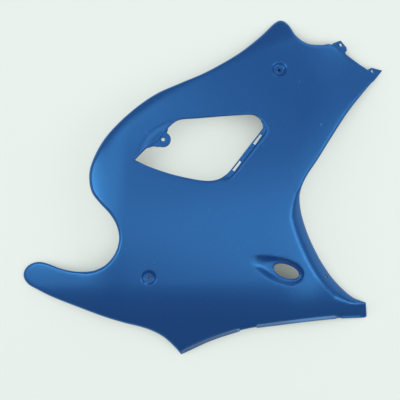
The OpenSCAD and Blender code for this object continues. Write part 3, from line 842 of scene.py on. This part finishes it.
def satin_paint():
    """Satin metallic blue sprayed on ABS: mottled blue with soft shine, orange peel, dust, and a painted pale
    highlight with some dust on the bottom strips.
    """
    look = bpy.context.scene.panel_look
    material, tree, output = new_material("satin_metallic_blue_paint_on_abs")
    where = add_node(tree, "ShaderNodeTexCoord").outputs["Object"]
    plan = add_node(tree, "ShaderNodeVectorMath", {0: where, 1: (1, 1, 0)}, operation="MULTIPLY").outputs[0]
    cloud = add_node(tree, "ShaderNodeTexNoise", {
        "Vector": where, "Scale": 1 / CLOUD_SIZE, "Detail": 3.0, "Roughness": 0.55}).outputs["Fac"]
    colour = add_node(tree, "ShaderNodeMix", {
        "Factor": cloud, "A": linear(look.paint), "B": linear(look.paint_deep)}, data_type="RGBA")
    speck = add_node(tree, "ShaderNodeTexNoise", {"Vector": where, "Scale": 1 / SPECK_SIZE, "Detail": 1.0})
    dust = add_node(tree, "ShaderNodeMapRange", {
        "Value": speck.outputs["Fac"], "From Min": DUST_FROM, "From Max": DUST_FULL, "To Max": DUST_SHARE})
    # Dust specks, or the painted highlight on the bottom strips, whichever is stronger, pale the paint
    pale = add_node(tree, "ShaderNodeMath", {0: dust.outputs["Result"], 1: strip_sheen_and_dust(tree, plan)},
                    operation="MAXIMUM")
    dust_and_sheen_colour = add_node(tree, "ShaderNodeMix", {
        "Factor": pale.outputs[0], "A": colour.outputs["Result"], "B": linear(look.dust)}, data_type="RGBA")
    rough = add_node(tree, "ShaderNodeMapRange", {
        "Value": cloud, "To Min": look.roughness - ROUGH_SPREAD, "To Max": look.roughness + ROUGH_SPREAD})
    marks = add_node(tree, "ShaderNodeBump", {"Height": marks_height(tree, plan), "Distance": MARK_HEIGHT})
    peel = add_node(tree, "ShaderNodeTexNoise", {"Vector": where, "Scale": 1 / PEEL_SIZE, "Detail": 2.0})
    bump = add_node(tree, "ShaderNodeBump", {
        "Height": peel.outputs["Fac"], "Strength": PEEL_STRENGTH, "Distance": PEEL_HEIGHT,
        "Normal": marks.outputs["Normal"]})
    finish = {"Roughness": rough.outputs["Result"], "IOR": COAT_IOR, "Normal": bump.outputs["Normal"]}
    pigment = add_node(tree, "ShaderNodeBsdfPrincipled", {
        "Base Color": dust_and_sheen_colour.outputs["Result"], "Specular IOR Level": look.gloss, **finish})
    flakes = add_node(tree, "ShaderNodeBsdfPrincipled", {
        "Base Color": linear(look.flake), "Metallic": 1.0, **finish})
    mix = add_node(tree, "ShaderNodeMixShader", {0: look.flakes, 1: pigment.outputs[0], 2: flakes.outputs[0]})
    tree.links.new(mix.outputs[0], output.inputs["Surface"])
    return material


def raw_moulding():
    """Bare dark ABS on the hollow side, with the fine grain of the mould."""
    look = bpy.context.scene.panel_look
    material, tree, output = new_material("bare_moulded_abs")
    where = add_node(tree, "ShaderNodeTexCoord").outputs["Object"]
    grain = add_node(tree, "ShaderNodeTexNoise", {"Vector": where, "Scale": 1 / GRAIN_SIZE, "Detail": 2.0})
    bump = add_node(tree, "ShaderNodeBump", {
        "Height": grain.outputs["Fac"], "Strength": PEEL_STRENGTH, "Distance": PEEL_HEIGHT})
    shader = add_node(tree, "ShaderNodeBsdfPrincipled", {
        "Base Color": linear(look.raw), "Roughness": ABS_ROUGHNESS, "IOR": ABS_IOR,
        "Normal": bump.outputs["Normal"]})
    tree.links.new(shader.outputs["BSDF"], output.inputs["Surface"])
    return material


def pale_paper():
    """Matt pale paper, part of its colour even wherever it lies open, to the eye and in reflections; that
    even part fades where the panel covers it, a painted shade.
    """
    look = bpy.context.scene.panel_look
    material, tree, output = new_material("pale_paper")
    matt = add_node(tree, "ShaderNodeBsdfDiffuse", {"Color": linear(look.floor)})
    even = add_node(tree, "ShaderNodeEmission", {"Color": linear(look.floor)})
    path = add_node(tree, "ShaderNodeLightPath")
    seen = path.outputs["Is Camera Ray"]
    for ray in ("Is Glossy Ray", "Is Transmission Ray"):
        seen = add_node(tree, "ShaderNodeMath", {0: seen, 1: path.outputs[ray]},
                        operation="MAXIMUM").outputs[0]
    # Painted shade: the even glow fades where the panel covers the floor
    open_sky = add_node(tree, "ShaderNodeAmbientOcclusion", {"Distance": OPEN_REACH})
    uncovered = add_node(tree, "ShaderNodeMapRange", {
        "Value": open_sky.outputs["AO"], "From Min": OPEN_FROM, "From Max": OPEN_FULL, "To Max": EVEN_SHARE})
    share = add_node(tree, "ShaderNodeMath", {0: seen, 1: uncovered.outputs["Result"]}, operation="MULTIPLY")
    mix = add_node(tree, "ShaderNodeMixShader", {0: share.outputs[0], 1: matt.outputs[0], 2: even.outputs[0]})
    tree.links.new(mix.outputs[0], output.inputs["Surface"])
    return material


def mesh_object(name, parts, materials):
    """One object from several closed pieces in millimetres, the second material on their back faces."""
    points, faces, backs, count = [], [], [], 0
    for p, f, is_back in parts:
        points.append(p * MM)
        faces.append(f + count)
        backs.append(is_back)
        count += len(p)
    mesh = bpy.data.meshes.new(name)
    mesh.from_pydata(np.vstack(points).tolist(), [], np.vstack(faces).tolist())
    for material in materials:
        mesh.materials.append(material)
    mesh.polygons.foreach_set("material_index", np.concatenate(backs).astype(np.int32))
    mesh.polygons.foreach_set("use_smooth", np.ones(len(mesh.polygons), bool))
    mesh.set_sharp_from_angle(angle=math.radians(CREASE))
    mesh.update()
    obj = bpy.data.objects.new(name, mesh)
    bpy.context.scene.collection.objects.link(obj)
    return obj


class PANEL_OT_shell(bpy.types.Operator):
    """Build the painted shell with its seats, ear and tabs"""

    bl_idname = "side_panel.shell"
    bl_label = "Painted shell"

    def execute(self, context):
        level = Level()
        parts = [
            add_shell(level),
            add_plate(level, EAR_AT, ear_outline(level), [EAR_AT], form_mm("screw_hole")),
            add_plate(level, TABS_AT, tabs_outline(), TAB_HOLES, form_mm("tab_hole")),
        ]
        shell = mesh_object("painted_side_panel", parts, [satin_paint(), raw_moulding()])
        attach(shell, BODY)
        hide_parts(NODE)
        return {"FINISHED"}


def area_lamp(name, around, above, power):
    """A soft square lamp that faces the panel, from that many degrees round it and above the floor."""
    lamp = bpy.data.lights.new(name, "AREA")
    lamp.size, lamp.energy = LAMP_SIZE, power
    obj = bpy.data.objects.new(name, lamp)
    a, e = math.radians(around), math.radians(above)
    towards = Vector((math.cos(e) * math.cos(a), math.cos(e) * math.sin(a), math.sin(e)))
    obj.location = towards * LAMP_AWAY
    obj.rotation_euler = (-towards).to_track_quat("-Z", "Y").to_euler()
    bpy.context.scene.collection.objects.link(obj)


class PANEL_OT_stage(bpy.types.Operator):
    """Lay the pale floor, the lamps, the world and the camera"""

    bl_idname = "side_panel.stage"
    bl_label = "Stage"

    def execute(self, context):
        scene = context.scene
        floor = bpy.data.meshes.new("paper_floor")
        h = FLOOR_HALF
        floor.from_pydata([(-h, -h, 0), (h, -h, 0), (h, h, 0), (-h, h, 0)], [], [(0, 1, 2, 3)])
        floor.materials.append(pale_paper())
        paper = bpy.data.objects.new("paper_floor", floor)
        scene.collection.objects.link(paper)

        world = bpy.data.worlds.new("soft_room")
        world.use_nodes = True
        background = world.node_tree.nodes["Background"].inputs
        background["Color"].default_value = (1, 1, 1, 1)
        background["Strength"].default_value = WORLD_STRENGTH
        scene.world = world
        for name, around, above, power in LAMPS:
            area_lamp(name, around, above, power)

        scene.view_settings.view_transform = "Standard"
        lens = bpy.data.cameras.new("camera")
        lens.lens = CAMERA_LENS
        lens.sensor_width = CAMERA_SENSOR
        lens.clip_end = CAMERA_REACH
        camera = bpy.data.objects.new("camera", lens)
        camera.location = CAMERA_AT
        scene.collection.objects.link(camera)
        scene.camera = camera
        return {"FINISHED"}


class PANEL_PT_sidebar(bpy.types.Panel):
    """Lists the parts of the panel's scene"""

    bl_label = "Side Panel"
    bl_idname = "PANEL_PT_sidebar"
    bl_space_type = "VIEW_3D"
    bl_region_type = "UI"
    bl_category = "Side Panel"

    def draw(self, context):
        for operator in OPERATORS:
            self.layout.operator(operator.bl_idname)
        for group in (context.scene.panel_form, context.scene.panel_look):
            for name in group.__annotations__:
                self.layout.prop(group, name)


OPERATORS = (PANEL_OT_shell, PANEL_OT_stage)
CLASSES = (PanelForm, PanelLook, *OPERATORS, PANEL_PT_sidebar)


def register():
    """Registers the properties, the operators and the sidebar."""
    for item in CLASSES:
        bpy.utils.register_class(item)
    bpy.types.Scene.panel_form = PointerProperty(type=PanelForm)
    bpy.types.Scene.panel_look = PointerProperty(type=PanelLook)


def unregister():
    """Takes them away again."""
    del bpy.types.Scene.panel_look
    del bpy.types.Scene.panel_form
    for item in reversed(CLASSES):
        bpy.utils.unregister_class(item)


def main():
    """Builds the panel and its stage."""
    register()
    bpy.ops.side_panel.shell()
    bpy.ops.side_panel.stage()


if __name__ == "__main__":
    main()
